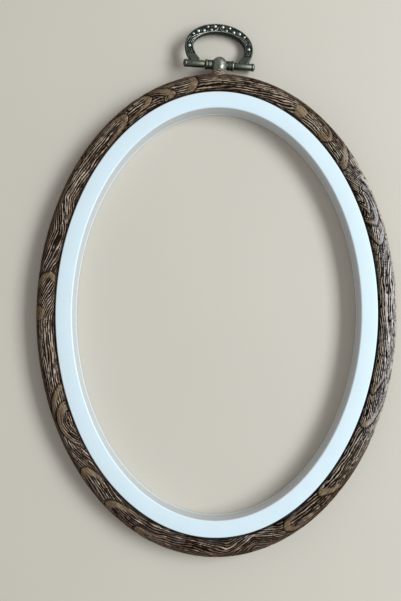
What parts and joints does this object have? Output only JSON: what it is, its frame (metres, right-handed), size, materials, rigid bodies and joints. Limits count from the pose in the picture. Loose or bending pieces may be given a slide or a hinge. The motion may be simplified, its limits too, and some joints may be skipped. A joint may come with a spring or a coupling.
{
  "type": "oval embroidery hoop",
  "caption": "Oval embroidery hoop: a soft woodgrain outer ring gripping a stiff white inner ring, with a hinged beaded bail for hanging at the top.",
  "frame": {"origin": "centre of the oval on the back plane that the hoop lies on", "axes": "+X across the hoop to the right seen from the front, +Y along the hoop's length towards the hanger, +Z out of the front"},
  "size_m": [0.145, 0.2157, 0.0104],
  "materials": {
    "white_plastic": "satin moulded white plastic",
    "woodgrain_vinyl": "soft vinyl moulded as bark, brown in the grooves and tan on the ridges",
    "antique_metal": "cast antique brass, dark in the hollows and rubbed bright on the high places"
  },
  "bodies": {
    "inner_ring": {"inner_hoop": "white_plastic"},
    "outer_ring": {"outer_hoop": "woodgrain_vinyl", "hanger_post": "antique_metal"},
    "bail": {"hanger_bail": "antique_metal", "hinge_pin": "antique_metal"}
  },
  "joints": [
    {"name": "outer_ring_lift", "type": "slide", "parent": "inner_ring", "child": "outer_ring", "axis": [0, 0, 1], "range_m": [0, 0.012]},
    {"name": "bail_swing", "type": "hinge", "parent": "outer_ring", "child": "bail", "pos_m": [0, 0.1007, 0.0052], "axis": [0.9877, 0, -0.1564], "range_deg": [-115, 130]}
  ]
}
